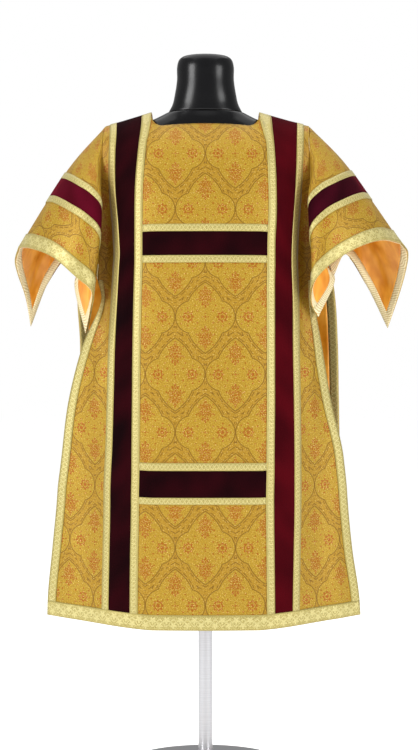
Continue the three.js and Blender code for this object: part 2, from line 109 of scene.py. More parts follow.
# A trough at x, deepest at z, that fades out at its reach up and down and to the sides, and leans
# over by so many mm for each mm of height. A negative depth is a ridge.
#   x, z, high, wide, deep, lean
FRONT_FOLDS = [
    (-211, 1175, 250, 42, 34, 0), (211, 1180, 250, 40, 28, 0),
    (-262, 640, 400, 64, 9, 0), (246, 600, 360, 64, 9, 0),
    (-216, 1010, 150, 24, 5, 0.10), (-232, 900, 200, 22, -3, 0.16), (214, 1000, 150, 22, 4, -0.06),
    (228, 880, 210, 24, -3, -0.14), (-100, 520, 220, 46, 2.2, 0.05), (84, 470, 190, 52, 2.4, -0.08),
    (-8, 860, 160, 70, 1.8, 0.10), (-296, 470, 170, 30, -3, 0.10), (288, 460, 180, 30, -3, -0.08),
    (-84, 1330, 90, 40, 1.6, 0.7), (96, 1340, 90, 40, 1.6, -0.7), (20, 1010, 110, 60, 1.4, -0.2),
]
BACK_FOLDS = [
    (-228, 1150, 260, 50, 12, 0), (232, 1150, 260, 50, 12, 0),
    (-255, 600, 400, 66, 9, 0), (250, 620, 380, 66, 9, 0),
    (-120, 1330, 150, 46, 3.5, 0.55), (112, 1320, 150, 44, 3.5, -0.5), (-6, 1240, 170, 40, 3, 0.05),
    (-92, 640, 330, 42, 4.5, 0.03), (64, 560, 290, 46, 5, -0.04), (-10, 800, 260, 40, -3, 0.02),
    (150, 700, 260, 30, -3, -0.05), (-176, 520, 220, 30, -3, 0.06), (-262, 880, 180, 26, 4, 0.1),
    (262, 860, 180, 26, 4, -0.1),
]
# Where the sleeves hang close, the panel beside them gets painted shade in its colour, fading out the
# same way.
#   x, z, high, wide
FRONT_SHADE = [(-226, 1190, 300, 42), (228, 1190, 300, 42)]
BACK_SHADE = [(-236, 1180, 280, 42), (238, 1180, 280, 42)]
# The side edges turn back past BEND_AT from the middle, over a soft bend.
BEND_AT = 150.0
BEND_WIDE = 45.0
# Shade gets full before it is deepest, and the braid covers a little less than its width of cloth.
SHADE_GAIN = 1.7
BRAID_COVERS = 0.9

# Columns from one side edge to the middle: edge, side galloon, brocade, narrow galloon, velvet,
# narrow galloon, middle. They mirror onto the other side.
EDGE, SIDE, OUTER, VELVET, INNER, MIDDLE, CENTRE = 0, 1, 3, 4, 5, 6, 8
LAST = CENTRE * 2
CELLS_IN_COLUMN = [4, 7, 7, 3, 10, 4, 12, 12]


def split(counts):
    """Places along a row of whole-numbered stations, with so many cells between each two."""
    places = [i + k / count for i, count in enumerate(counts) for k in range(count)]
    return np.array(places + [len(counts)])


def between_rows(values, drop, levels):
    """The rows' values at any level between them, on smooth curves."""
    slopes = np.gradient(values, drop, axis=0)
    i = np.minimum(levels.astype(int), len(values) - 2)
    t = (levels - i)[:, None]
    span = (drop[i + 1] - drop[i])[:, None]
    return (
        (2 * t**3 - 3 * t**2 + 1) * values[i] + (t**3 - 2 * t**2 + t) * span * slopes[i]
        + (3 * t**2 - 2 * t**3) * values[i + 1] + (t**3 - t**2) * span * slopes[i + 1]
    )


def turned_back(distance):
    """How far a place so far from the middle has turned back, in mm of the bend."""
    past = distance - BEND_AT
    start = (math.hypot(BEND_AT, BEND_WIDE) - BEND_AT) / 2
    return (past + np.hypot(past, BEND_WIDE)) / 2 - start


def fade(away):
    """A soft bell, 1 at no distance and 0 past a distance of 1."""
    return np.where(np.abs(away) < 1, (1 + np.cos(math.pi * np.clip(away, -1, 1))) / 2, 0)


def panel_points(table, folds, outward, levels, columns):
    """Points of a panel's cloth at each level and column."""
    values = np.array(table, float)
    drop = np.concatenate([[0], np.cumsum(np.hypot(*np.diff(values[:, :2], axis=0).T))])
    rows = between_rows(values, drop, levels)
    points = np.empty((len(levels), len(columns), 3))
    for i, (z, y, z_side, y_side, *sides) in enumerate(rows):
        halves = []
        strap = np.clip(levels[i] - LEVELS.index("neck"), 0, 1)
        for edge, velvet_out, velvet_in in (sides[:3], sides[3:]):
            outer = velvet_out + NARROW * BRAID_COVERS
            side = edge - min(SIDE_GALLOON * BRAID_COVERS, (edge - outer) / 3)
            inner = NECK_HALF + 1
            inner += max(velvet_in - NARROW - inner, 0) * strap
            middle = (side + outer) / 2
            halves.append([edge, side, middle, outer, velvet_out, velvet_in, inner, inner / 2])
        stations = [-x for x in halves[0]] + [0] + halves[1][::-1]
        x = np.interp(columns, np.arange(LAST + 1), stations)
        edge = np.where(x < 0, halves[0][0], halves[1][0])
        across = np.maximum(0, (np.abs(x) - NECK_HALF) / (edge - NECK_HALF))
        height = z + (z_side - z) * across
        back = turned_back(np.abs(x)) / turned_back(edge)
        trough = sum(
            deep * fade((x - at_x - lean * (height - at_z)) / wide) * fade((height - at_z) / high)
            for at_x, at_z, high, wide, deep, lean in folds
        )
        points[i] = np.stack([x, y + (y_side - y) * back - outward * trough, height], axis=1)
    return points


def lengths(points, axis):
    """How far each point of a grid is along its row or column, on the cloth."""
    steps = np.linalg.norm(np.diff(points, axis=axis), axis=2)
    pad = [(0, 0), (0, 0)]
    pad[axis] = (1, 0)
    return np.pad(np.cumsum(steps, axis=axis), pad)


def sheet_of(points, facing, levels, columns):
    """A sheet of cloth: its points, the way out of it at each, and how far in the shade each is."""
    down = np.gradient(points, axis=0)
    across = np.gradient(points, axis=1)
    out = np.cross(down, across) * facing
    out /= np.linalg.norm(out, axis=2, keepdims=True)
    shade = np.zeros(points.shape[:2])
    return {"points": points, "out": out, "shade": shade, "levels": levels, "columns": columns}


def panel(table, folds, shades, outward):
    """A panel's whole sheet, with its shade and its flat places from the middle of the hem."""
    values = np.array(table, float)
    gaps = np.hypot(*np.diff(values[:, :2], axis=0).T)
    levels = split([max(2, math.ceil(gap / CELL)) for gap in gaps])
    columns = split(CELLS_IN_COLUMN + CELLS_IN_COLUMN[::-1])
    points = panel_points(table, folds, outward, levels, columns)
    sheet = sheet_of(points, -outward, levels, columns)
    for x, z, high, wide in shades:
        sheet["shade"] += fade((points[:, :, 0] - x) / wide) * fade((points[:, :, 2] - z) / high)
    sheet["shade"] = np.clip(sheet["shade"] * SHADE_GAIN, 0, 1)
    middle = int(np.argmin(np.abs(columns - CENTRE)))
    u = lengths(points, 1)
    v = lengths(points, 0)[:, middle]
    above_hem = np.broadcast_to((v[-1] - v)[:, None], u.shape)
    sheet["flat"] = np.stack([u - u[:, middle, None], above_hem], axis=2)
    return sheet


# The cloth follows the neck's edge down to this far below it.
NECK_EASE = 70.0


def round_neck(sheet, drop, bow, corner):
    """Lowers the neck's edge, bows it up in the middle and rounds its corners, with the cloth by it."""
    neck = int(np.argmin(np.abs(sheet["levels"] - LEVELS.index("neck"))))
    points = sheet["points"]
    x = np.abs(points[neck, :, 0])
    rise = bow * np.clip(1 - (x / NECK_HALF) ** 2, 0, 1) - np.where(x <= NECK_HALF + 1, drop, 0)
    past = np.clip((x - NECK_HALF + corner) / corner, 0, 1)
    rise += np.where(x <= NECK_HALF + 1, corner * (1 - np.sqrt(1 - past**2)), 0)
    for i in range(neck, points.shape[0]):
        fall = np.clip(1 - (points[neck, :, 2] - points[i, :, 2]) / NECK_EASE, 0, 1) ** 1.5
        points[i, :, 2] += rise * fall
        sheet["flat"][i, :, 1] += rise * fall


def cut(sheet, rows, columns):
    """The part of a sheet between two levels and two columns."""
    i = np.flatnonzero((sheet["levels"] > rows[0] - NEAR) & (sheet["levels"] < rows[1] + NEAR))
    j = np.flatnonzero((sheet["columns"] > columns[0] - NEAR) & (sheet["columns"] < columns[1] + NEAR))
    grid = np.ix_(i, j)
    piece = {key: sheet[key][grid] for key in ("points", "out", "flat", "shade")}
    return piece | {"levels": sheet["levels"][i], "columns": sheet["columns"][j]}


def smooth_piece(bm, name):
    """A bmesh made a smooth object at the origin."""
    mesh = bpy.data.meshes.new(name)
    bm.to_mesh(mesh)
    bm.free()
    mesh.polygons.foreach_set("use_smooth", [True] * len(mesh.polygons))
    piece = bpy.data.objects.new(name, mesh)
    bpy.context.scene.collection.objects.link(piece)
    return piece


def cloth(name, sheet, outer, thick, materials, keep=None):
    """Lays a flat grid over a sheet's points, outer mm out, keeps some cells and thickens it inwards."""
    points = (sheet["points"] + sheet["out"] * outer) * MM
    rows, columns = points.shape[:2]
    bm = bmesh.new()
    bmesh.ops.create_grid(bm, x_segments=columns - 1, y_segments=rows - 1, size=1)
    uv = bm.loops.layers.uv.new("UVMap")
    # how much painted shade each point's colour gets
    shade = bm.verts.layers.float.new("fold_shade")
    places = {}
    for vert in bm.verts:
        i = round((vert.co.y + 1) / 2 * (rows - 1))
        j = round((vert.co.x + 1) / 2 * (columns - 1))
        places[vert] = (i, j)
    gone = []
    for face in bm.faces:
        for loop in face.loops:
            loop[uv].uv = sheet["flat"][places[loop.vert]]
        corner = (min(places[v][0] for v in face.verts), min(places[v][1] for v in face.verts))
        if keep is not None and not keep[corner]:
            gone.append(face)
    for vert, place in places.items():
        vert.co = points[place]
        vert[shade] = sheet["shade"][place]
    bmesh.ops.delete(bm, geom=gone, context="FACES")
    bm.normal_update()
    face = bm.faces[:][len(bm.faces) // 2]
    if face.normal.dot(sheet["out"][places[face.verts[0]]]) < 0:
        bmesh.ops.reverse_faces(bm, faces=bm.faces[:])
    piece = smooth_piece(bm, f"sewn_{name}")
    for material in materials:
        piece.data.materials.append(material)
    wall = piece.modifiers.new("thickness", "SOLIDIFY")
    wall.thickness = thick * MM
    wall.offset = -1
    wall.material_offset = len(materials) - 1
    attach(piece, "root")
    return piece


# The two colours that a Mix node mixes, and its two vectors.
FIRST, SECOND = 6, 7
FIRST_SPOT, SECOND_SPOT = 4, 5


def linear(colour):
    """An sRGB hex colour as the linear values that a shader takes."""
    parts = [int(colour[i:i + 2], 16) / 255 for i in (1, 3, 5)]
    return [p / 12.92 if p <= 0.04045 else ((p + 0.055) / 1.055) ** 2.4 for p in parts] + [1]


def add_node(tree, kind, links=None, **settings):
    """Adds a node with its settings, values and links, and gives its first output in use."""
    made = tree.nodes.new("ShaderNode" + kind)
    for key, value in settings.items():
        setattr(made, key, value)
    for key, value in (links or {}).items():
        if isinstance(value, bpy.types.NodeSocket):
            tree.links.new(value, made.inputs[key])
        else:
            made.inputs[key].default_value = value
    return next((output for output in made.outputs if output.enabled), None)


def new_material(name):
    material = bpy.data.materials.new(name)
    material.use_nodes = True
    material.node_tree.nodes.clear()
    return material, material.node_tree


def with_painted_shade(tree, colour):
    """The colour with painted shade: multiplied darker where the cloth's fold_shade is high, in its deep
    folds and beside the sleeves.
    """
    shade = add_node(tree, "Attribute", attribute_name="fold_shade").node.outputs["Fac"]
    # painted shade: the colour is multiplied towards a darker tone as far as fold_shade goes
    deeper = {"Factor": shade, FIRST: colour, SECOND: linear("#d8c8b8")}
    return add_node(tree, "Mix", deeper, data_type="RGBA", blend_type="MULTIPLY")


def finish_material(tree, surface, bump_height=None, bump_depth=0.0, **values):
    """Closes a material with its Principled shader, and a bump so many mm deep."""
    shader = add_node(tree, "BsdfPrincipled", values | surface)
    if bump_height is not None:
        bump = {"Height": bump_height, "Distance": bump_depth * MM, "Strength": 1.0}
        normal = add_node(tree, "Bump", bump)
        tree.links.new(normal, shader.node.inputs["Normal"])
    add_node(tree, "OutputMaterial", {"Surface": shader})


# Gold damask brocade, woven with a metallic yarn, which gives a broken, sandy shine: pointed
# medallions with round side lobes in a half-drop repeat, sprays and rosettes in orange silk inside
# them, and rows of small leaves between. All its sizes are in mm on the flat cloth.
REPEAT = (130.0, 249.4)
MEDALLION = {"lobe_at": 28.2, "lobe": 36.0, "half_wide": 43.6, "half_high": 79.0}
OUTLINE = 1.05
# The leaves: half the way from row to row, half a row's width, half a leaf and its gap, half the
# gap, and how far they keep out of the medallions.
LEAVES = {"apart": 4.2, "wide": 1.0, "long": 6.5, "gap": 2.0, "clear": 3.0}
# The yarn's sparkle is 0.5 mm across and is drawn coarser, or it would not show; in the colour it is
# partly the yarn's grain and partly painted sparkle, lighter and darker specks of gold. TONE is the width
# of the slow changes from dye lot and handling.
SPARKLE = 2.0
# GLINT is the width of the painted glints.
GLINT = 2.6
TONE = 60.0


def medallion_edge(tree, x, y):
    """How far out of a medallion a place is, and how far out of its pointed arch."""
    high, wide = MEDALLION["half_high"], MEDALLION["half_wide"]
    radius = (high**2 + wide**2) / (2 * wide)
    arch_x = add_node(tree, "Math", {0: x, 1: radius - wide}, operation="ADD")
    arch = add_node(tree, "CombineXYZ", {0: arch_x, 1: y})
    arch = add_node(tree, "VectorMath", {0: arch}, operation="LENGTH")
    arch = add_node(tree, "Math", {0: arch, 1: radius}, operation="SUBTRACT")
    lobe_x = add_node(tree, "Math", {0: x, 1: MEDALLION["lobe_at"]}, operation="SUBTRACT")
    lobe = add_node(tree, "CombineXYZ", {0: lobe_x, 1: y})
    lobe = add_node(tree, "VectorMath", {0: lobe}, operation="LENGTH")
    lobe = add_node(tree, "Math", {0: lobe, 1: MEDALLION["lobe"]}, operation="SUBTRACT")
    return add_node(tree, "Math", {0: arch, 1: lobe}, operation="MINIMUM"), arch


def flower(tree, spot, centre, radius, petals, cut_deep):
    """Where a spot is inside a round flower with petals, and how far it is from the flower's middle."""
    centred = add_node(tree, "VectorMath", {0: spot, 1: centre}, operation="SUBTRACT")
    away = add_node(tree, "VectorMath", {0: centred}, operation="LENGTH")
    parts = add_node(tree, "SeparateXYZ", {0: centred}).node.outputs
    angle = add_node(tree, "Math", {0: parts["Y"], 1: parts["X"]}, operation="ARCTAN2")
    angle = add_node(tree, "Math", {0: angle, 1: float(petals)}, operation="MULTIPLY")
    wave = add_node(tree, "Math", {0: angle}, operation="COSINE")
    rim = add_node(tree, "Math", {0: wave, 1: radius * cut_deep, 2: radius}, operation="MULTIPLY_ADD")
    return add_node(tree, "Math", {0: away, 1: rim}, operation="LESS_THAN"), away


# Flowers and dots of a quarter of a medallion, from its centre. Large ones have an open ring, at
# RING of their radius.
#   across, up, radius, petals, how deep the petals are cut
FLOWERS = [
    (37, 0, 11.0, 8, 0.18), (0, 45, 7.6, 6, 0.22), (0, 60, 5.8, 5, 0.30), (8.5, 54, 5.2, 5, 0.32),
    (10, 40, 5.4, 5, 0.32), (0, 30, 5.8, 4, 0.30), (0, 22, 2.4, 4, 0), (6, 27, 2.4, 4, 0.3),
    (0, 70, 1.9, 4, 0), (0, 0, 2.4, 4, 0.3), (6, 0, 1.5, 4, 0), (0, 7, 1.5, 4, 0),
    (17, 13, 2.0, 4, 0.3), (22, 25, 1.7, 4, 0), (52, 15, 1.8, 4, 0), (54, 0, 1.8, 4, 0.3),
    (38, 19, 1.9, 4, 0), (19, 38, 1.9, 4, 0), (17, 60, 1.6, 4, 0), (27, 12, 1.4, 4, 0),
]
LARGE = 4.0
RING, RING_WIDE = 0.52, 0.13


def make_brocade():
    material, tree = new_material("gold_damask_brocade")
    flat = add_node(tree, "UVMap", uv_map="UVMap")
    place = add_node(tree, "SeparateXYZ", {0: flat}).node.outputs
    half = [side / 2 for side in REPEAT]
    x = add_node(tree, "Math", {0: place["X"], 1: half[0]}, operation="PINGPONG")
    y = add_node(tree, "Math", {0: place["Y"], 1: half[1]}, operation="PINGPONG")
    next_x = add_node(tree, "Math", {0: half[0], 1: x}, operation="SUBTRACT")
    next_y = add_node(tree, "Math", {0: half[1], 1: y}, operation="SUBTRACT")
    near, near_arch = medallion_edge(tree, x, y)
    other, other_arch = medallion_edge(tree, next_x, next_y)
    edge = add_node(tree, "Math", {0: near, 1: other}, operation="MINIMUM")
    swapped = add_node(tree, "Math", {0: other, 1: near}, operation="LESS_THAN")
    here = add_node(tree, "CombineXYZ", {0: x, 1: y})
    there = add_node(tree, "CombineXYZ", {0: next_x, 1: next_y})
    spot = {"Factor": swapped, FIRST_SPOT: here, SECOND_SPOT: there}
    spot = add_node(tree, "Mix", spot, data_type="VECTOR")

    # the thin outline of the medallions
    outline = add_node(tree, "Math", {0: edge, 1: 0.0, 2: OUTLINE}, operation="COMPARE")

    # flowers and dots
    flowers = None
    for across, up, radius, petals, cut_deep in FLOWERS:
        inside, away = flower(tree, spot, (across, up, 0), radius, petals, cut_deep)
        if radius > LARGE:
            ring = {0: away, 1: radius * RING, 2: radius * RING_WIDE}
            ring = add_node(tree, "Math", ring, operation="COMPARE")
            inside = add_node(tree, "Math", {0: inside, 1: ring}, operation="SUBTRACT", use_clamp=True)
        flowers = inside if flowers is None else add_node(
            tree, "Math", {0: flowers, 1: inside}, operation="MAXIMUM"
        )

    # rows of leaves between the medallions, along lines parallel to their arches
    arch = add_node(tree, "Math", {0: near_arch, 1: other_arch}, operation="MINIMUM")
    line = add_node(tree, "Math", {0: arch, 1: LEAVES["apart"]}, operation="PINGPONG")
    line = {0: line, 1: LEAVES["apart"], 2: LEAVES["wide"]}
    line = add_node(tree, "Math", line, operation="COMPARE")
    lengthwise = add_node(tree, "Math", {0: place["Y"], 1: LEAVES["long"]}, operation="PINGPONG")
    dash = add_node(tree, "Math", {0: lengthwise, 1: LEAVES["gap"]}, operation="GREATER_THAN")
    outside = add_node(tree, "Math", {0: edge, 1: LEAVES["clear"]}, operation="GREATER_THAN")
    leaves = add_node(tree, "Math", {0: line, 1: dash}, operation="MULTIPLY")
    leaves = add_node(tree, "Math", {0: leaves, 1: outside}, operation="MULTIPLY")

    # sparkle of the metallic yarn, in the colour partly grain and partly painted sparkle, and slow
    # changes of its tone
    sparkle = add_node(tree, "TexNoise", {"Vector": flat, "Scale": 1 / SPARKLE, "Detail": 2.0})
    tone = add_node(tree, "TexNoise", {"Vector": flat, "Scale": 1 / TONE, "Detail": 1.0})
    between = add_node(tree, "Math", {0: edge, 1: 0.0}, operation="GREATER_THAN")
    gold = add_node(tree, "ValToRGB", {"Fac": sparkle})
    ramp = gold.node.color_ramp
    ramp.elements[0].position, ramp.elements[0].color = 0.36, linear("#8a6a0e")
    ramp.elements[1].position, ramp.elements[1].color = 0.68, linear("#bf9c30")
    browner = {"Factor": 0.22, FIRST: gold, SECOND: linear("#945a06")}
    browner = add_node(tree, "Mix", browner, data_type="RGBA")
    ground = {"Factor": between, FIRST: gold, SECOND: browner}
    ground = add_node(tree, "Mix", ground, data_type="RGBA")
    toned = {"Factor": tone, FIRST: ground, SECOND: linear("#967014")}
    toned = add_node(tree, "Mix", toned, data_type="RGBA")
    ground = {"Factor": 0.35, FIRST: ground, SECOND: toned}
    ground = add_node(tree, "Mix", ground, data_type="RGBA")
    silk = {"Factor": sparkle, FIRST: linear("#7a4200"), SECOND: linear("#ae6402")}
    silk = add_node(tree, "Mix", silk, data_type="RGBA")
    colour = {"Factor": flowers, FIRST: ground, SECOND: silk}
    colour = add_node(tree, "Mix", colour, data_type="RGBA")

    # painted glints: pale specks in the colour stand in for light that the metallic yarn catches, more of
    # them among the flowers
    glint = add_node(tree, "TexNoise", {"Vector": flat, "Scale": 1 / GLINT, "Detail": 1.0})
    glint = add_node(tree, "Math", {0: flowers, 1: 0.05, 2: glint}, operation="MULTIPLY_ADD")
    glint = {"Value": glint, "From Min": 0.63, "From Max": 0.72, "To Max": 0.5}
    glint = add_node(tree, "MapRange", glint)
    colour = {"Factor": glint, FIRST: colour, SECOND: linear("#f2dc8c")}
    colour = add_node(tree, "Mix", colour, data_type="RGBA")
    lines = add_node(tree, "Math", {0: outline, 1: leaves}, operation="MAXIMUM")
    lines = add_node(tree, "Math", {0: lines, 1: 0.66}, operation="MULTIPLY")
    colour = {"Factor": lines, FIRST: colour, SECOND: linear("#5e3600")}
    colour = add_node(tree, "Mix", colour, data_type="RGBA")
    # painted shade in the deep folds and beside the sleeves
    colour = with_painted_shade(tree, colour)
    raised = add_node(tree, "Math", {0: flowers, 1: 0.6, 2: sparkle}, operation="MULTIPLY_ADD")
    finish_material(
        tree, {"Base Color": colour}, raised, 0.35, Roughness=0.5, Metallic=0.25,
        **{"Sheen Weight": 0.05, "Sheen Roughness": 0.4, "Sheen Tint": linear("#ffe08a"),
           "Specular IOR Level": 0.3},
    )
    return material


# Satin of the lining: a smooth orange silk that takes a soft wide shine, broken by waves in the cloth
# about 45 mm wide. Its colour is painted lighter and darker over the same waves that make its bump:
# painted shine and shade on them.
WAVE = 45.0


def make_satin():
    material, tree = new_material("orange_satin_lining")
    flat = add_node(tree, "UVMap", uv_map="UVMap")
    waves = add_node(tree, "TexNoise", {"Vector": flat, "Scale": 1 / WAVE, "Detail": 2.0})
    # painted shine and shade: lighter and darker orange over the waves
    colour = add_node(tree, "ValToRGB", {"Fac": waves})
    ramp = colour.node.color_ramp
    ramp.elements[0].position, ramp.elements[0].color = 0.3, linear("#cc7a0c")
    ramp.elements[1].position, ramp.elements[1].color = 0.7, linear("#f2aa3c")
    finish_material(
        tree, {"Base Color": colour}, waves, 1.2, Roughness=0.36,
        **{"Sheen Weight": 0.15, "Sheen Roughness": 0.35, "Sheen Tint": linear("#ffd890"),
           "Specular IOR Level": 0.35},
    )
    return material


brocade = make_brocade()
satin = make_satin()
front = panel(FRONT, FRONT_FOLDS, FRONT_SHADE, -1)
back = panel(BACK, BACK_FOLDS, BACK_SHADE, 1)
round_neck(front, drop=8.0, bow=7.0, corner=26.0)
round_neck(back, drop=0.0, bow=0.0, corner=20.0)

# A medallion is centred on the panel, so many mm above the hem, and the cloth eases over the chest.
MEDALLION_UP = {"front": 178.0, "back": 120.0}
CHEST = {"bottom": 1020.0, "high": 210.0, "ease": 16.0}
for side, sheet in (("front", front), ("back", back)):
    chest = np.clip((sheet["points"][:, :, 2] - CHEST["bottom"]) / CHEST["high"], 0, 1)
    sheet["flat"][:, :, 1] += CHEST["ease"] * chest**2 * (3 - 2 * chest)
    sheet["flat"][:, :, 1] -= MEDALLION_UP[side]
    below_neck = sheet["levels"][:-1, None] >= LEVELS.index("neck") - NEAR
    columns = sheet["columns"][None, :-1]
    middle = (columns > MIDDLE - NEAR) & (columns < LAST - MIDDLE - NEAR)
    cloth(
        f"{side}_panel", sheet, BROCADE / 2, BROCADE, [brocade, satin], below_neck | ~middle
    )
    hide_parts(f"{side}_panel")


# ---------------------------------------------------------------- velvet clavi and cross bands
# Two upright strips and two cross bands on each panel, of burgundy cotton velvet, sewn on flat.
# The woven pile drinks the light. One velvet is made as two copies, a lighter one with painted light and
# a darker one with painted shade, and one strip on each panel gets the lit copy, so it is redder. The
# pile is far finer than the 2.2 mm at which it is drawn, and brushed in patches of about 90 mm; over the
# pile's flecks and the patches its colour runs between a deep and a lit tone, partly the pile's real
# unevenness and partly painted light.
PILE = 2.2
PATCH = 90.0
VELVET_THICK = 1.2
VELVET_OUT = 2.3


def make_velvet(name, deep, lit, sheen):
    material, tree = new_material(name)
    flat = add_node(tree, "UVMap", uv_map="UVMap")
    pile = add_node(tree, "TexNoise", {"Vector": flat, "Scale": 1 / PILE, "Detail": 2.0})
    brushed = add_node(tree, "TexNoise", {"Vector": flat, "Scale": 1 / PATCH, "Detail": 1.0})
    fleck = add_node(tree, "Math", {0: pile, 1: 0.35, 2: brushed}, operation="MULTIPLY_ADD")
    # deep and lit tones over the flecks and patches: partly the pile's unevenness, partly painted light
    colour = add_node(tree, "ValToRGB", {"Fac": fleck})
    ramp = colour.node.color_ramp
    ramp.elements[0].position, ramp.elements[0].color = 0.50, linear(deep)
    ramp.elements[1].position, ramp.elements[1].color = 0.85, linear(lit)
    finish_material(
        tree, {"Base Color": colour}, pile, 0.4, Roughness=0.9,
        **{"Sheen Weight": sheen, "Sheen Roughness": 0.3, "Sheen Tint": linear("#c01838"),
           "Specular IOR Level": 0.05},
    )
    return material


# painted light: a darker, shaded copy and a lighter, lit copy of one velvet
shaded_velvet_copy = make_velvet("burgundy_velvet_shaded_copy", "#0e0002", "#260106", 0.02)
lit_velvet_copy = make_velvet("burgundy_velvet_lit_copy", "#340006", "#48020b", 0.04)


def strip(name, sheet, rows, columns, outer, thick, material, lengthwise=0):
    """A strip cut from a sheet, whose own flat places run across it and along it."""
    piece = cut(sheet, rows, columns)
    wide = lengths(piece["points"], 1 - lengthwise)
    long = lengths(piece["points"], lengthwise)
    whole = wide.max(axis=1 - lengthwise, keepdims=True)
    piece["flat"] = np.stack([wide - whole / 2, long], axis=2)
    made = cloth(name, piece, outer, thick, [material])
    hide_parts(name)
    return made


trims = {"front": [], "back": []}
for side, sheet in (("front", front), ("back", back)):
    for hand, mirror in (("left", False), ("right", True)):
        columns = (LAST - INNER, LAST - VELVET) if mirror else (VELVET, INNER)
        # the lit copy on the front's right strip and the back's left one, the shaded copy on the others
        pile = lit_velvet_copy if (hand == "right") == (side == "front") else shaded_velvet_copy
        trims[side].append(strip(
            f"{side}_clavus_{hand}", sheet, (0, LEVELS.index("hemTop")), columns,
            VELVET_OUT, VELVET_THICK, pile,
        ))
    for band, top, end in (("upper", "velvetTop", "velvetEnd"), ("lower", "lowVelvet", "lowVelvetEnd")):
        trims[side].append(strip(
            f"{side}_{band}_band", sheet, (LEVELS.index(top), LEVELS.index(end)), (MIDDLE, LAST - MIDDLE),
            VELVET_OUT, VELVET_THICK, shaded_velvet_copy, 1,
        ))


# ---------------------------------------------------------------- galloons of the panels
# Pale gold woven metallic braid, which glitters in specks, sewn over the raw edges of the velvet and
# along the open edges: narrow beside the velvet, wider at the sides, and widest, with a leaf figure, at
# the hem. Its specks are drawn 1.8 mm across, as finer would not show; in the colour they are partly the
# braid's woven grain and partly painted glitter. Each of its edges is a plain cord.
SPECK = 1.8
CORD = 2.2
GALLOON_THICK = 1.5
GALLOON_OUT = 2.6


def make_galloon(name, width, repeat, figured):
    """Braid so many mm wide: plain cords at both edges, and a figure with its repeat in mm."""
    material, tree = new_material(name)
    flat = add_node(tree, "UVMap", uv_map="UVMap")
    place = add_node(tree, "SeparateXYZ", {0: flat}).node.outputs
    across = add_node(tree, "Math", {0: place["X"]}, operation="ABSOLUTE")
    along = add_node(tree, "Math", {0: place["Y"], 1: repeat / 2}, operation="PINGPONG")
    sparkle = add_node(tree, "TexNoise", {"Vector": flat, "Scale": 1 / SPECK, "Detail": 3.0})
    if figured:
        # a waving stem, with a leaf of five lobes in each of its bends
        turn = add_node(tree, "Math", {0: place["Y"], 1: 2 * math.pi / repeat}, operation="MULTIPLY")
        wave = add_node(tree, "Math", {0: turn}, operation="COSINE")
        stem = {0: wave, 1: -width * 0.22, 2: place["X"]}
        stem = add_node(tree, "Math", stem, operation="MULTIPLY_ADD")
        figure = add_node(tree, "Math", {0: stem, 1: 0.0, 2: width * 0.045}, operation="COMPARE")
        spot = add_node(tree, "CombineXYZ", {0: place["X"], 1: along})
        for aside, at in ((-width * 0.16, 0.0), (width * 0.16, repeat / 2)):
            leaf = flower(tree, spot, (aside, at, 0), width * 0.19, 5, 0.34)[0]
            figure = add_node(tree, "Math", {0: figure, 1: leaf}, operation="MAXIMUM")
    else:
        # small lozenges
        slope = add_node(tree, "Math", {0: along, 1: width / repeat * 0.8}, operation="MULTIPLY")
        cross = add_node(tree, "Math", {0: across, 1: slope}, operation="SUBTRACT")
        figure = add_node(tree, "Math", {0: cross, 1: 0.0, 2: width * 0.08}, operation="COMPARE")
    cord = add_node(tree, "Math", {0: across, 1: width / 2 - CORD}, operation="GREATER_THAN")
    # lighter and darker specks: partly the braid's grain, partly painted glitter
    body = add_node(tree, "ValToRGB", {"Fac": sparkle})
    ramp = body.node.color_ramp
    ramp.elements[0].position, ramp.elements[0].color = 0.38, linear("#8a7834")
    ramp.elements[1].position, ramp.elements[1].color = 0.66, linear("#ccc07a")
    bright = {"Factor": figure, FIRST: body, SECOND: linear("#e2d898")}
    bright = add_node(tree, "Mix", bright, data_type="RGBA")
    mixed = {"Factor": 0.4, FIRST: body, SECOND: bright}
    mixed = add_node(tree, "Mix", mixed, data_type="RGBA")
    edged = {"Factor": cord, FIRST: mixed, SECOND: linear("#a99a54")}
    edged = add_node(tree, "Mix", edged, data_type="RGBA")
    # painted shade in the deep folds and beside the sleeves
    edged = with_painted_shade(tree, edged)
    height = add_node(tree, "Math", {0: figure, 1: 0.5, 2: sparkle}, operation="MULTIPLY_ADD")
    height = add_node(tree, "Math", {0: height, 1: cord}, operation="MAXIMUM")
    finish_material(
        tree, {"Base Color": edged}, height, 0.5, Roughness=0.42, Metallic=0.3,
        **{"Sheen Weight": 0.1, "Sheen Roughness": 0.4},
    )
    return material


narrow_galloon = make_galloon("pale_gold_narrow_galloon", NARROW, 9.0, False)
side_galloon = make_galloon("pale_gold_side_galloon", SIDE_GALLOON, 11.0, False)
wide_galloon = make_galloon("pale_gold_figured_galloon", 33.0, 30.0, True)

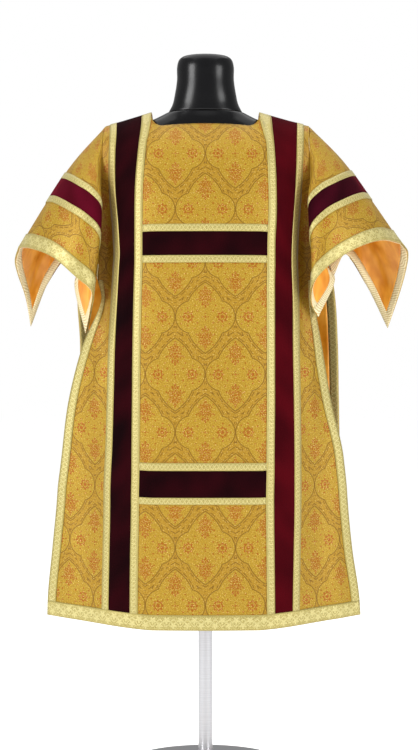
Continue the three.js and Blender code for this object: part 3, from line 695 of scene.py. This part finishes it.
for side, sheet in (("front", front), ("back", back)):
    hem_top = LEVELS.index("hemTop")
    for hand, mirror in (("left", False), ("right", True)):
        for name, columns, top, braid in (
            (f"{side}_clavus_{hand}_outer_galloon", (OUTER, VELVET), 0, narrow_galloon),
            (f"{side}_clavus_{hand}_inner_galloon", (INNER, MIDDLE), 0, narrow_galloon),
            (f"{side}_side_galloon_{hand}", (EDGE, SIDE), LEVELS.index("armpit"), side_galloon),
        ):
            columns = (LAST - columns[1], LAST - columns[0]) if mirror else columns
            trims[side].append(strip(
                name, sheet, (top, hem_top), columns, GALLOON_OUT, GALLOON_THICK, braid,
            ))
    for name, top, end in (
        ("upper_band_top", "bandTop", "velvetTop"), ("upper_band_bottom", "velvetEnd", "bandEnd"),
        ("lower_band_top", "lowTop", "lowVelvet"), ("lower_band_bottom", "lowVelvetEnd", "lowEnd"),
    ):
        trims[side].append(strip(
            f"{side}_{name}_galloon", sheet, (LEVELS.index(top), LEVELS.index(end)),
            (MIDDLE, LAST - MIDDLE), GALLOON_OUT, GALLOON_THICK, narrow_galloon, 1,
        ))
    trims[side].append(strip(
        f"{side}_hem_galloon", sheet, (hem_top, len(LEVELS) - 1), (EDGE, LAST),
        GALLOON_OUT, GALLOON_THICK, wide_galloon, 1,
    ))


# ---------------------------------------------------------------- lining and turned edges of the back
# The back panel's satin lining and the galloon turned round its side edges show at the open slits.
# The braid's reverse is plain, with its threads running slantwise.
def make_reverse():
    material, tree = new_material("galloon_reverse")
    flat = add_node(tree, "UVMap", uv_map="UVMap")
    place = add_node(tree, "SeparateXYZ", {0: flat}).node.outputs
    slant = add_node(tree, "Math", {0: place["X"], 1: place["Y"]}, operation="ADD")
    thread = add_node(tree, "Math", {0: slant, 1: 3.0}, operation="PINGPONG")
    thread = add_node(tree, "Math", {0: thread, 1: 3.0}, operation="DIVIDE")
    fleck = add_node(tree, "TexNoise", {"Vector": flat, "Scale": 1 / 2.0, "Detail": 2.0})
    mixed = add_node(tree, "Math", {0: thread, 1: 0.6, 2: fleck}, operation="MULTIPLY_ADD")
    colour = add_node(tree, "ValToRGB", {"Fac": mixed})
    ramp = colour.node.color_ramp
    ramp.elements[0].position, ramp.elements[0].color = 0.45, linear("#b79c58")
    ramp.elements[1].position, ramp.elements[1].color = 1.0, linear("#efe4bc")
    finish_material(tree, {"Base Color": colour}, mixed, 0.4, Roughness=0.5, Metallic=0.15)
    return material


reverse = make_reverse()
LINING_IN = -1.1
SATIN_THICK = 1.0
TURNED_THICK = 1.0
hem_top = LEVELS.index("hemTop")
lined = cut(back, (LEVELS.index("neck"), hem_top), (SIDE, LAST - SIDE))
back_lining = cloth("back_lining", lined, LINING_IN, SATIN_THICK, [satin])
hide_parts("back_lining")
for hand, columns in (("left", (EDGE, SIDE)), ("right", (LAST - SIDE, LAST))):
    trims["back"].append(strip(
        f"back_turned_galloon_{hand}", back, (LEVELS.index("armpit"), hem_top), columns,
        LINING_IN, TURNED_THICK, side_galloon,
    ))


# ---------------------------------------------------------------- sleeves
# Each sleeve is one piece of brocade sewn to the panels' edges over the shoulder and left open
# below. It hangs as a wide tube: a ridge in front hides the seam, and the corners hang free.
SLEEVE = 338.0
TURNED = 22.0
BAND = {"outer": 140.0, "velvet": 156.0, "velvetEnd": 202.0, "end": 219.0, "cuff": 303.0}
ARMPIT = LEVELS.index("armpit")
ROUND = ["frontEdge", "under", "turn", "lowFront", "midFront", "highFront", "top",
         "highBack", "midBack", "lowBack", "backEdge"]
TOP = ROUND.index("top")
# A row for each section across the sleeve, at a third, two thirds and the whole of its length,
# with its points in the order of ROUND.
SLEEVES = {
    "left": [
        [(-252, -52, 1128), (-240, -70, 1200), (-229, -93, 1292), (-240, -90, 1322), (-264, -74, 1344),
         (-285, -40, 1360), (-298, 4, 1369), (-300, 62, 1350), (-308, 122, 1300), (-322, 152, 1228),
         (-322, 130, 1168)],
        [(-292, 4, 1106), (-262, -60, 1106), (-233, -99, 1186), (-262, -108, 1220), (-306, -86, 1250),
         (-342, -42, 1270), (-361, 6, 1275), (-372, 68, 1252), (-384, 128, 1208), (-386, 174, 1155),
         (-374, 190, 1108)],
        [(-266, -30, 985), (-253, -60, 1040), (-249, -98, 1076), (-284, -112, 1107), (-331, -95, 1148),
         (-393, -35, 1175), (-420, 10, 1179), (-436, 75, 1153), (-436, 135, 1123), (-426, 185, 1079),
         (-417, 215, 1008)],
    ],
    "right": [
        [(253, -54, 1132), (240, -72, 1206), (227, -95, 1296), (242, -92, 1326), (272, -76, 1348),
         (297, -42, 1364), (310, 5, 1373), (312, 62, 1356), (320, 122, 1306), (332, 155, 1236),
         (328, 138, 1174)],
        [(286, -34, 1112), (258, -76, 1108), (231, -108, 1190), (262, -113, 1230), (312, -90, 1260),
         (354, -46, 1278), (377, 6, 1281), (390, 70, 1262), (402, 130, 1215), (400, 175, 1155),
         (382, 188, 1102)],
        [(247, -88, 1019), (232, -96, 1050), (235, -120, 1090), (262, -121, 1124), (324, -102, 1166),
         (390, -56, 1191), (441, 10, 1189), (463, 70, 1171), (464, 125, 1130), (449, 178, 1060),
         (433, 205, 1004)],
    ],
}
# The panel that each half of a sleeve is sewn to, which way is out of it, and where on a section,
# from its top, the thread from each level of the panel's edge passes.
SEAM_SIDE = {
    "front": (FRONT, FRONT_FOLDS, -1, [0, 1, 2, 3, 4, 4.5, 5, 5.4]),
    "back": (BACK, BACK_FOLDS, 1, [0, 0.5, 1, 1.5, 2, 2.5, 3, 3.4]),
}
# How far off the panel's edge the sleeve starts, at the shoulder and at the armpit.
SEAM_GAP = {"top": 2.2, "front": 3.6, "back": 1.6}
# Soft folds of each sleeve: the place round it from the front edge, counted in levels, the mm
# along it, how far each reaches round and along, and its depth in mm. A negative depth is a ridge.
#   round, along, reach round, reach along, deep
SLEEVE_FOLDS = {
    "left": [
        (7.4, 70, 1.3, 90, 3), (6.0, 240, 1.0, 90, -3), (12.4, 150, 1.6, 130, 6),
        (14.6, 240, 1.2, 110, -5), (10.6, 250, 1.2, 100, 3),
    ],
    "right": [
        (7.2, 80, 1.3, 90, 3), (6.2, 250, 1.1, 90, -3), (12.2, 160, 1.6, 130, 6),
        (14.4, 240, 1.2, 110, -5), (10.4, 240, 1.2, 100, 3),
    ],
}
# Cells round a sleeve between each two levels, their length along it, and the stations along it.
CELLS_ROUND = [3, 3, 4, 4, 4, 5, 6, 6, 5, 5, 5, 6, 6, 6, 6, 6, 6, 3]
SLEEVE_CELL = 5.5
STATIONS = [
    0, 55, BAND["outer"], BAND["velvet"], BAND["velvetEnd"], BAND["end"], BAND["cuff"],
    SLEEVE - TURNED, SLEEVE,
]
# Where the brocade's pattern starts on a sleeve, along it and round from its top.
SLEEVE_PATTERN = (60.0, -64.0)


def curve_point(points, t):
    """A point on the smooth curve through some points, t from 0 to 1 with each span alike."""
    last = len(points) - 1
    i = min(int(t * last), last - 1)
    w = t * last - i
    before = points[i - 1] if i > 0 else 2 * points[0] - points[1]
    after = points[i + 2] if i + 2 <= last else 2 * points[last] - points[last - 1]
    p, q = points[i], points[i + 1]
    d0, d1, d2 = (math.sqrt(np.linalg.norm(b - a)) for a, b in ((before, p), (p, q), (q, after)))
    leave = ((p - before) / d0 - (q - before) / (d0 + d1) + (q - p) / d1) * d1
    reach = ((q - p) / d1 - (after - p) / (d1 + d2) + (after - q) / d2) * d1
    return (
        p + leave * w + (-3 * p + 3 * q - 2 * leave - reach) * w**2
        + (2 * p - 2 * q + leave + reach) * w**3
    )


def sleeve_sheet(hand):
    """A sleeve's whole sheet, from the front edge over the top to the back edge."""
    column = np.array([EDGE if hand == "left" else LAST])
    around = split(CELLS_ROUND)
    along_cells = [max(2, math.ceil(gap / SLEEVE_CELL)) for gap in np.diff(STATIONS)]
    along = np.interp(split(along_cells), np.arange(len(STATIONS)), STATIONS)
    sections = [[np.array(p, float) for p in section] for section in SLEEVES[hand]]
    points = np.empty((len(around), len(along), 3))
    for i, k in enumerate(around):
        half_of = "front" if k < ARMPIT else "back"
        table, folds, outward, places = SEAM_SIDE[half_of]
        level = np.array([abs(k - ARMPIT)])
        start = panel_points(table, folds, outward, level, column)[0, 0]
        line = [start]
        for section in sections:
            half = section[TOP::-1] if half_of == "front" else section[TOP:]
            last = len(half) - 1
            edge = TURNED / np.linalg.norm(half[last] - half[last - 1])
            place = np.interp(level[0], np.arange(ARMPIT + 1), places + [last - edge, last])
            line.append(curve_point(half, place / last))
        gap = np.interp(level[0] / ARMPIT, [0, 1], [SEAM_GAP["top"], SEAM_GAP[half_of]])
        for j, distance in enumerate(along):
            points[i, j] = curve_point(line, distance / SLEEVE)
        away = line[1] - start
        points[i, 0] = start + away * gap / np.linalg.norm(away)
    facing = 1 if hand == "left" else -1
    sheet = sheet_of(points, facing, around, along)
    for at_round, at_along, reach_round, reach_along, deep in SLEEVE_FOLDS[hand]:
        trough = fade((around[:, None] - at_round) / reach_round)
        trough = trough * fade((along[None, :] - at_along) / reach_along)
        points -= sheet["out"] * (deep * trough)[:, :, None]
    sheet = sheet_of(points, facing, around, along)
    u = lengths(points, 0)
    v = lengths(points, 1)
    top = int(np.argmin(np.abs(around - ARMPIT)))
    sheet["flat"] = np.stack([v, u - u[top][None, :]], axis=2) - SLEEVE_PATTERN
    return sheet


SLEEVE_GALLOON_OUT = 3.0
SLEEVE_VELVET_OUT = 2.7
SLEEVE_LINING_IN = -1.4
# The bands start where the front of the sleeve comes out of its tuck.
TUCKED = 3
LAST_ROUND = len(CELLS_ROUND)
cuff_braid = make_galloon("pale_gold_cuff_galloon", 34.0, 30.0, True)
# painted light: the left sleeve's band gets a lighter, lit copy of one velvet and the right's a darker,
# shaded copy
sleeve_velvets = {
    "left": make_velvet("burgundy_velvet_left_sleeve", "#38010a", "#52051a", 0.34),
    "right": make_velvet("burgundy_velvet_right_sleeve", "#160004", "#380312", 0.35),
}
sleeve_trims = {}
for hand in ("left", "right"):
    sheet = sleeve_sheet(hand)
    name = f"sleeve_{hand}"
    cloth(name, sheet, BROCADE / 2, BROCADE, [brocade, satin])
    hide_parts(name)
    sleeve_trims[hand] = [
        strip(f"{name}_band", sheet, (TUCKED, LAST_ROUND), (BAND["velvet"], BAND["velvetEnd"]),
              SLEEVE_VELVET_OUT, VELVET_THICK, sleeve_velvets[hand]),
        strip(f"{name}_band_upper_galloon", sheet, (TUCKED, LAST_ROUND), (BAND["outer"], BAND["velvet"]),
              SLEEVE_GALLOON_OUT, GALLOON_THICK, narrow_galloon),
        strip(f"{name}_band_lower_galloon", sheet, (TUCKED, LAST_ROUND), (BAND["velvetEnd"], BAND["end"]),
              SLEEVE_GALLOON_OUT, GALLOON_THICK, narrow_galloon),
        strip(f"cuff_galloon_{hand}", sheet, (0, LAST_ROUND), (BAND["cuff"], SLEEVE),
              SLEEVE_GALLOON_OUT, GALLOON_THICK, cuff_braid),
    ]
    lining = cut(sheet, (1, LAST_ROUND - 1), (BAND["outer"], SLEEVE - TURNED))
    cloth(f"{name}_lining", lining, SLEEVE_LINING_IN, SATIN_THICK, [satin])
    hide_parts(f"{name}_lining")
    rows = sheet["levels"][:-1, None]
    columns = sheet["columns"][None, :-1]
    keep = (rows < 1 - NEAR) | (rows > LAST_ROUND - 1 - NEAR) | (columns > SLEEVE - TURNED - NEAR)
    edging = cloth(f"{name}_turned_galloon", sheet, SLEEVE_LINING_IN, TURNED_THICK, [reverse], keep)
    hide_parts(f"{name}_turned_galloon")
    sleeve_trims[hand].append(edging)


# ---------------------------------------------------------------- the dress form
# A limbless display form of moulded plastic. Its neck ends in a rounded top with a shallow dish.
# The rings of each moulding are half ellipses, one to the front and one to the back.
#   z, half its width, how far it reaches forward and back
TORSO = [
    (770, 120, 76, 78), (780, 152, 98, 100), (810, 164, 106, 108), (880, 166, 108, 108),
    (970, 154, 104, 98), (1060, 136, 94, 88), (1150, 146, 104, 98), (1240, 166, 116, 108),
    (1320, 186, 108, 104), (1380, 198, 82, 88), (1415, 194, 62, 70), (1438, 176, 54, 60),
    (1455, 144, 52, 57), (1468, 112, 52, 56), (1480, 88, 54, 56),
]
NECK = [
    (1480.3, 84, 55, 56), (1500, 74, 55, 55), (1522, 69, 56, 55), (1556, 64, 55, 54),
    (1590, 63, 54, 53), (1599, 60, 51, 50), (1605, 54, 45, 45), (1607, 48, 40, 41),
    (1605, 42, 34, 36), (1601, 30, 24, 26), (1599, 12, 10, 10),
]
FORM_SIDES = 72
FORM_SPANS = 5


def moulding(name, rows):
    """A closed form drawn up through its rings, with smooth curves between them."""
    values = np.array(rows, float)
    drop = np.concatenate([[0], np.cumsum(np.hypot(*np.diff(values[:, :2], axis=0).T))])
    rings = between_rows(values, drop, split([FORM_SPANS] * (len(rows) - 1)))
    bm = bmesh.new()
    loop = bmesh.ops.create_circle(bm, cap_ends=True, segments=FORM_SIDES, radius=1)["verts"]
    edges = bm.edges[:]
    below = (1, 1, 1)
    for i, (z, *ring) in enumerate(rings):
        if i:
            grown = bmesh.ops.extrude_edge_only(bm, edges=edges)["geom"]
            loop = [part for part in grown if isinstance(part, bmesh.types.BMVert)]
            edges = [part for part in grown if isinstance(part, bmesh.types.BMEdge)]
        for vert in loop:
            half = 1 if vert.co.y < 0 else 2
            angle = math.atan2(vert.co.y / below[half], vert.co.x / below[0])
            vert.co = (ring[0] * MM * math.cos(angle), ring[half] * MM * math.sin(angle), z * MM)
        below = ring
    bmesh.ops.contextual_create(bm, geom=loop)
    bmesh.ops.recalc_face_normals(bm, faces=bm.faces[:])
    piece = smooth_piece(bm, f"moulded_{name}")
    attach(piece, "root")
    return piece


# Black plastic from a polished mould: a clear shine that wavers over ripples about 30 mm apart, and
# a little dust, drawn as grains of 4 mm.
RIPPLE = 30.0
DUST = 4.0


def make_gloss_black():
    material, tree = new_material("gloss_black_moulded_plastic")
    place = add_node(tree, "TexCoord").node.outputs["Object"]
    ripple = add_node(tree, "TexNoise", {"Vector": place, "Scale": 1 / (RIPPLE * MM), "Detail": 1.0})
    dust = add_node(tree, "TexNoise", {"Vector": place, "Scale": 1 / (DUST * MM), "Detail": 3.0})
    colour = {"Factor": dust, FIRST: linear("#050506"), SECOND: linear("#0c0c0e")}
    colour = add_node(tree, "Mix", colour, data_type="RGBA")
    finish_material(
        tree, {"Base Color": colour}, ripple, 0.25, Roughness=0.24, IOR=1.46,
        **{"Specular IOR Level": 0.3},
    )
    return material


gloss_black = make_gloss_black()
for name, rows in (("form_torso", TORSO), ("form_neck", NECK)):
    piece = moulding(name, rows)
    piece.data.materials.append(gloss_black)
    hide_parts(name)


# ---------------------------------------------------------------- the stand
# A round socket under the form, a steel tube and a heavy base, all turned and brushed round. They
# are fitted into each other, GAP apart.
POLE_RADIUS = 16.0
BASE = {"radius": 190.0, "thick": 18.0, "chamfer": 5.0}
SOCKET = {"radius": 34.0, "bottom": 710.0, "top": 769.7, "chamfer": 6.0}
GAP = 0.3
TURN_STEPS = 96


def turned(name, profile):
    """A closed piece spun from its profile of radius and height in mm."""
    bm = bmesh.new()
    verts = [bm.verts.new((radius * MM, 0, z * MM)) for radius, z in profile]
    edges = [bm.edges.new(pair) for pair in zip(verts, verts[1:])]
    bmesh.ops.spin(
        bm, geom=verts + edges, cent=(0, 0, 0), axis=(0, 0, 1), angle=2 * math.pi, steps=TURN_STEPS,
        use_merge=True,
    )
    bmesh.ops.remove_doubles(bm, verts=bm.verts[:], dist=1e-6)
    bmesh.ops.recalc_face_normals(bm, faces=bm.faces[:])
    piece = smooth_piece(bm, f"turned_{name}")
    rounded = piece.modifiers.new("edges", "BEVEL")
    rounded.width = 1.5 * MM
    rounded.segments = 3
    rounded.limit_method = "ANGLE"
    rounded.harden_normals = True
    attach(piece, "root")
    return piece


# Steel brushed on the lathe, in rings about 2 mm apart that stretch each highlight.
BRUSHED = 2.0


def make_steel():
    material, tree = new_material("brushed_steel_turned")
    place = add_node(tree, "TexCoord").node.outputs["Object"]
    parts = add_node(tree, "SeparateXYZ", {0: place}).node.outputs
    level = add_node(tree, "CombineXYZ", {0: parts["X"], 1: parts["Y"]})
    away = add_node(tree, "VectorMath", {0: level}, operation="LENGTH")
    rings = add_node(tree, "CombineXYZ", {0: away, 2: parts["Z"]})
    brushed = add_node(tree, "TexNoise", {"Vector": rings, "Scale": 1 / (BRUSHED * MM), "Detail": 3.0})
    colour = {"Factor": brushed, FIRST: linear("#9a9a9c"), SECOND: linear("#cfcfd2")}
    colour = add_node(tree, "Mix", colour, data_type="RGBA")
    rough = add_node(tree, "MapRange", {"Value": brushed, "To Min": 0.22, "To Max": 0.4})
    finish_material(
        tree, {"Base Color": colour, "Roughness": rough}, brushed, 0.08, Metallic=1.0
    )
    return material


steel = make_steel()
POLE_FOOT = BASE["thick"] + GAP
POLE_TOP = SOCKET["bottom"] - GAP
for name, profile in (
    ("pole_socket", [
        (0, SOCKET["bottom"]), (SOCKET["radius"] - SOCKET["chamfer"], SOCKET["bottom"]),
        (SOCKET["radius"], SOCKET["bottom"] + SOCKET["chamfer"]), (SOCKET["radius"], SOCKET["top"]),
        (0, SOCKET["top"]),
    ]),
    ("pole", [(0, POLE_FOOT), (POLE_RADIUS, POLE_FOOT), (POLE_RADIUS, POLE_TOP), (0, POLE_TOP)]),
    ("base", [
        (0, 0), (BASE["radius"], 0), (BASE["radius"], BASE["thick"] - BASE["chamfer"]),
        (BASE["radius"] - BASE["chamfer"], BASE["thick"]), (0, BASE["thick"]),
    ]),
):
    piece = turned(name, profile)
    piece.data.materials.append(steel)
    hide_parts(name)


# ---------------------------------------------------------------- floor, light and camera
# A plain white floor under an even white sky, a soft light from each side in front, the left one
# stronger, and a wide one straight above.
floor_mesh = bpy.data.meshes.new("floor")
bm = bmesh.new()
bmesh.ops.create_grid(bm, x_segments=1, y_segments=1, size=30)
bm.to_mesh(floor_mesh)
bm.free()
floor = bpy.data.objects.new("floor", floor_mesh)
bpy.context.scene.collection.objects.link(floor)
white, tree = new_material("plain_white_floor")
finish_material(
    tree, {"Base Color": linear("#fafafa")}, Roughness=0.9,
    **{"Emission Color": linear("#ffffff"), "Emission Strength": 0.6, "Specular IOR Level": 0.1},
)
floor_mesh.materials.append(white)

world = bpy.data.worlds.new("studio")
world.use_nodes = True
tree = world.node_tree
seen = add_node(tree, "LightPath").node.outputs["Is Camera Ray"]
strength = add_node(tree, "MapRange", {"Value": seen, "To Min": 0.42, "To Max": 1.0})
tree.nodes["Background"].inputs["Color"].default_value = (1, 1, 1, 1)
tree.links.new(strength, tree.nodes["Background"].inputs["Strength"])
bpy.context.scene.world = world


def softbox(name, place, aim, size, power):
    data = bpy.data.lights.new(name, "AREA")
    data.shape = "RECTANGLE"
    data.size, data.size_y = size
    data.energy = power
    lamp = bpy.data.objects.new(name, data)
    lamp.location = place
    direction = np.array(aim) - np.array(place)
    yaw = math.atan2(direction[1], direction[0])
    pitch = math.atan2(direction[2], math.hypot(direction[0], direction[1]))
    lamp.rotation_euler = (math.pi / 2 + pitch, 0, yaw - math.pi / 2)
    bpy.context.scene.collection.objects.link(lamp)


softbox("key", (-3.1, -2.6, 2.1), (0, 0, 1.0), (1.5, 1.8), 105)
softbox("fill", (3.1, -2.6, 1.7), (0, 0, 0.9), (1.5, 1.8), 75)
softbox("top", (0.0, 0.01, 3.4), (0, 0, 0), (3.4, 3.4), 60)

camera_data = bpy.data.cameras.new("camera")
camera_data.sensor_width = 36
camera_data.lens = 76.8
camera = bpy.data.objects.new("camera", camera_data)
camera.location = (0.008, -3.6, 0.892)
camera.rotation_euler = (math.pi / 2, 0, 0)
bpy.context.scene.collection.objects.link(camera)
bpy.context.scene.camera = camera
bpy.context.scene.view_settings.view_transform = "Standard"
